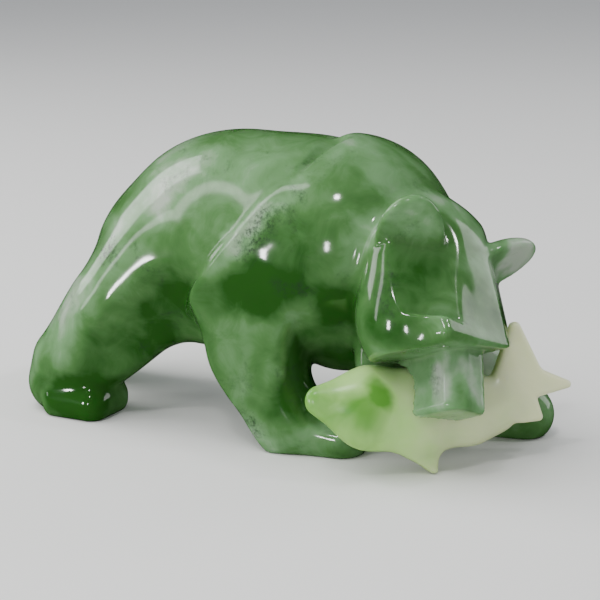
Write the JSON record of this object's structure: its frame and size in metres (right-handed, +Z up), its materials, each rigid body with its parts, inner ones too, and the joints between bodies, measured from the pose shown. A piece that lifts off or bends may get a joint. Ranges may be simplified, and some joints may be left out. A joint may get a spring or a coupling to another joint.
{
  "type": "carved jade bear with fish",
  "caption": "Polished green stone bear walking with its head low and a pale fish crosswise in its mouth, a small carving that stands on its own feet.",
  "frame": {"origin": "on the ground, under the middle of the carving's box", "axes": "+X the way the bear faces, +Y to the bear's left, +Z up"},
  "size_m": [0.1696, 0.075, 0.0834],
  "materials": {
    "bear_stone": "polished green nephrite with grey flecks",
    "fish_stone": "satin-polished pale jade, greener at the head"
  },
  "bodies": {
    "root": {"bear": "bear_stone", "fish": "fish_stone"}
  },
  "joints": []
}
